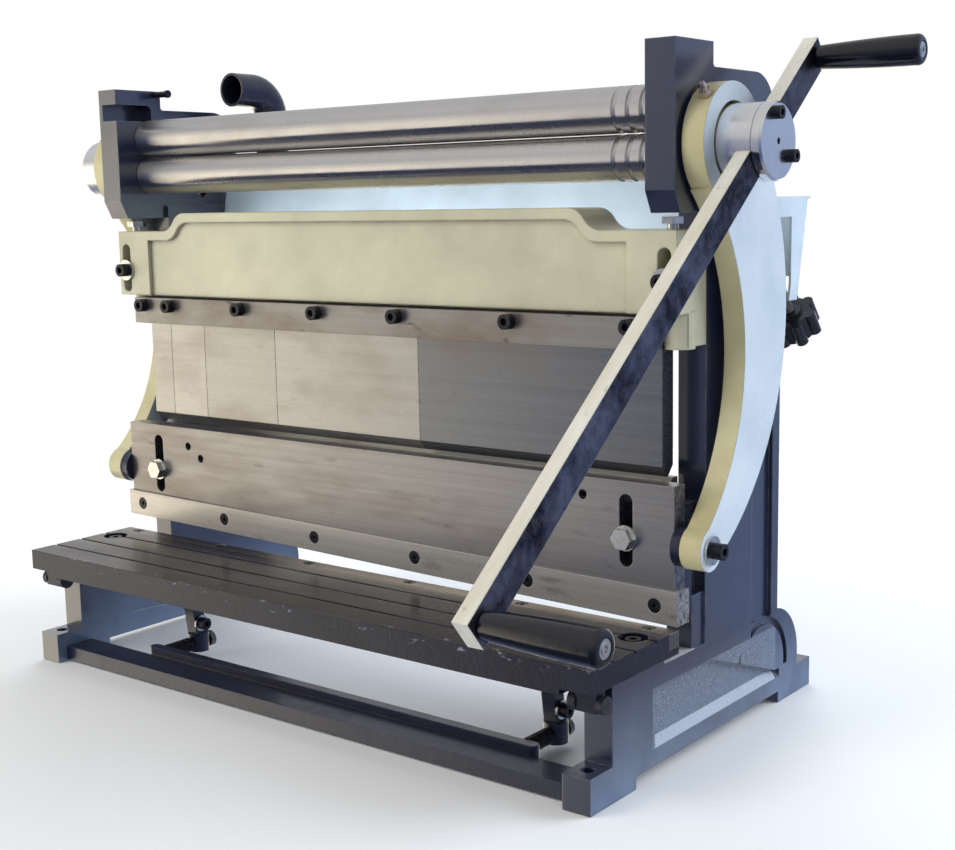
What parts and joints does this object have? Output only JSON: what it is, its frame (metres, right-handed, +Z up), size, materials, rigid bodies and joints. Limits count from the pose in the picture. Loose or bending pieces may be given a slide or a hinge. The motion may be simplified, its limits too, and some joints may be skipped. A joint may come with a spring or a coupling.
{
  "type": "sheet metal brake",
  "caption": "Bench machine for sheet metal with a guillotine shear, a finger press brake above a V die and slip rolls, all worked by one long double-ended lever.",
  "frame": {"origin": "on the floor, at the centre of the four foot bolt holes; midway between the two side castings", "axes": "+X to the operator's right, along the rolls; +Y to the rear; +Z up"},
  "size_m": [0.861, 0.5713, 0.58],
  "materials": {
    "navy_casting": "semi-gloss navy enamel over rough cast iron",
    "navy_steel": "semi-gloss navy enamel over rolled steel",
    "navy_arms": "semi-gloss navy enamel",
    "guide_steel": "planed, oiled",
    "bronze": "machined bronze",
    "table_iron": "dark machined cast iron",
    "lower_blade_steel": "ground, darkened",
    "black_oxide": "black oxide",
    "grey_screws": "dull grey",
    "pale_sheet": "pale blue-green satin paint",
    "elbow_black": "gloss black",
    "rod_steel": "drawn, oiled",
    "spring_steel": "black spring steel",
    "plate_steel": "ground, with brown oil stains",
    "blade_steel": "ground, with brown oil stains",
    "die_steel": "planed",
    "zinc": "bright zinc plate",
    "link_cream": "cream hammer enamel",
    "pin_steel": "ground",
    "cream_casting": "cream enamel over cast iron",
    "bar_steel": "ground, with brown oil stains",
    "finger_steel": "ground, with brown oil stains",
    "roll_steel": "turned and polished",
    "hub_steel": "turned and polished",
    "lever_steel": "hot rolled, mottled, with bright edges",
    "spindle_steel": "turned",
    "grip_black": "gloss black",
    "pin_black": "black oxide",
    "block_steel": "milled",
    "thread_steel": "zinc-plated thread",
    "knob_black": "gloss black"
  },
  "bodies": {
    "frame": {"right_frame": "navy_casting", "left_frame": "navy_casting", "tie_rods": "navy_steel", "front_tie": "navy_steel", "column_guides": "guide_steel", "roll_bushes": "bronze", "table": "table_iron", "lower_blade": "lower_blade_steel", "lower_blade_screws": "black_oxide", "table_bolts": "black_oxide", "table_lug_screws": "grey_screws", "beam_clamp_screws": "black_oxide", "frame_washers": "zinc", "rear_panel": "pale_sheet", "rear_guard": "pale_sheet", "rear_elbow": "elbow_black", "stop_arms": "navy_arms", "stop_arm_screws": "black_oxide"},
    "ram": {"ram_beam": "navy_steel", "front_plate": "plate_steel", "upper_blade": "blade_steel", "upper_blade_screws": "black_oxide", "plate_bolts": "zinc", "plate_set_screws": "black_oxide", "v_die": "die_steel", "right_link": "link_cream", "left_link": "link_cream", "link_pins": "pin_steel", "link_screws": "black_oxide", "link_washers": "zinc", "grease_nipples": "zinc"},
    "brake": {"brake_beam": "cream_casting", "clamp_bar": "bar_steel", "clamp_bar_screws": "black_oxide", "beam_jack_screws": "zinc", "finger_1": "finger_steel", "finger_2": "finger_steel", "finger_3": "finger_steel", "finger_4": "finger_steel", "finger_5": "finger_steel"},
    "crank": {"lower_roll": "roll_steel", "right_hub": "hub_steel", "left_hub": "hub_steel", "hub_cap": "hub_steel", "hub_cap_screws": "black_oxide", "lever_bar": "lever_steel", "grip_spindles": "spindle_steel"},
    "front_handle": {"front_grip": "grip_black"},
    "rear_handle": {"rear_grip": "grip_black"},
    "feed_roll": {"upper_roll": "roll_steel"},
    "latch": {"latch_pin": "pin_black"},
    "rear_carriage": {"rear_blocks": "block_steel"},
    "bending_roll": {"rear_roll": "roll_steel"},
    "right_adjuster": {"right_adjuster": "thread_steel", "right_knob": "knob_black"},
    "left_adjuster": {"left_adjuster": "thread_steel", "left_knob": "knob_black"},
    "stop": {"stop_bar": "navy_steel", "stop_rods": "rod_steel", "stop_springs": "spring_steel"}
  },
  "joints": [
    {"name": "crank_turn", "type": "hinge", "parent": "frame", "child": "crank", "pos_m": [0, -0.0305, 0.4765], "axis": [1, 0, 0], "range_deg": [-75, 5]},
    {"name": "ram_slide", "type": "slide", "parent": "frame", "child": "ram", "axis": [0, 0, 1], "range_m": [-0.017, 0.0012]},
    {"name": "feed_roll_turn", "type": "hinge", "parent": "frame", "child": "feed_roll", "pos_m": [0, -0.0305, 0.5137], "axis": [1, 0, 0], "range_deg": [-6, 76]},
    {"name": "brake_slide", "type": "slide", "parent": "frame", "child": "brake", "axis": [0, 0, 1], "range_m": [-0.005, 0.002]},
    {"name": "front_handle_spin", "type": "hinge", "parent": "crank", "child": "front_handle", "pos_m": [0.4, -0.37304, 0.20176], "axis": [1, 0, 0], "continuous": true},
    {"name": "rear_handle_spin", "type": "hinge", "parent": "crank", "child": "rear_handle", "pos_m": [0.4, 0.06245, 0.55065], "axis": [1, 0, 0], "continuous": true},
    {"name": "latch_slide", "type": "slide", "parent": "frame", "child": "latch", "axis": [1, 0, 0], "range_m": [-0.012, 0.004]},
    {"name": "right_adjuster_turn", "type": "hinge", "parent": "rear_carriage", "child": "right_adjuster", "pos_m": [0.318, 0.035, 0.4776], "axis": [0, -0.6561, 0.7547], "range_deg": [-970, 1930]},
    {"name": "rear_carriage_slide", "type": "slide", "parent": "frame", "child": "rear_carriage", "axis": [0, -0.6561, 0.7547], "range_m": [-0.004, 0.008]},
    {"name": "left_adjuster_turn", "type": "hinge", "parent": "rear_carriage", "child": "left_adjuster", "pos_m": [-0.318, 0.035, 0.4776], "axis": [0, -0.6561, 0.7547], "range_deg": [-970, 1930]},
    {"name": "bending_roll_spin", "type": "hinge", "parent": "rear_carriage", "child": "bending_roll", "pos_m": [0, 0.035, 0.4776], "axis": [1, 0, 0], "continuous": true},
    {"name": "stop_slide", "type": "slide", "parent": "frame", "child": "stop", "axis": [0, 1, 0], "range_m": [0, 0.012], "stiffness_N_per_m": 600, "springref_m": -0.01, "deforming": ["stop_springs"]}
  ],
  "couplings": [
    {"joint": "ram_slide", "follows": "crank_turn", "m_per_rad": 0.0128},
    {"joint": "feed_roll_turn", "follows": "crank_turn", "ratio": -1},
    {"joint": "right_adjuster_turn", "follows": "rear_carriage_slide", "rad_per_m": 4188.8},
    {"joint": "left_adjuster_turn", "follows": "rear_carriage_slide", "rad_per_m": 4188.8}
  ]
}
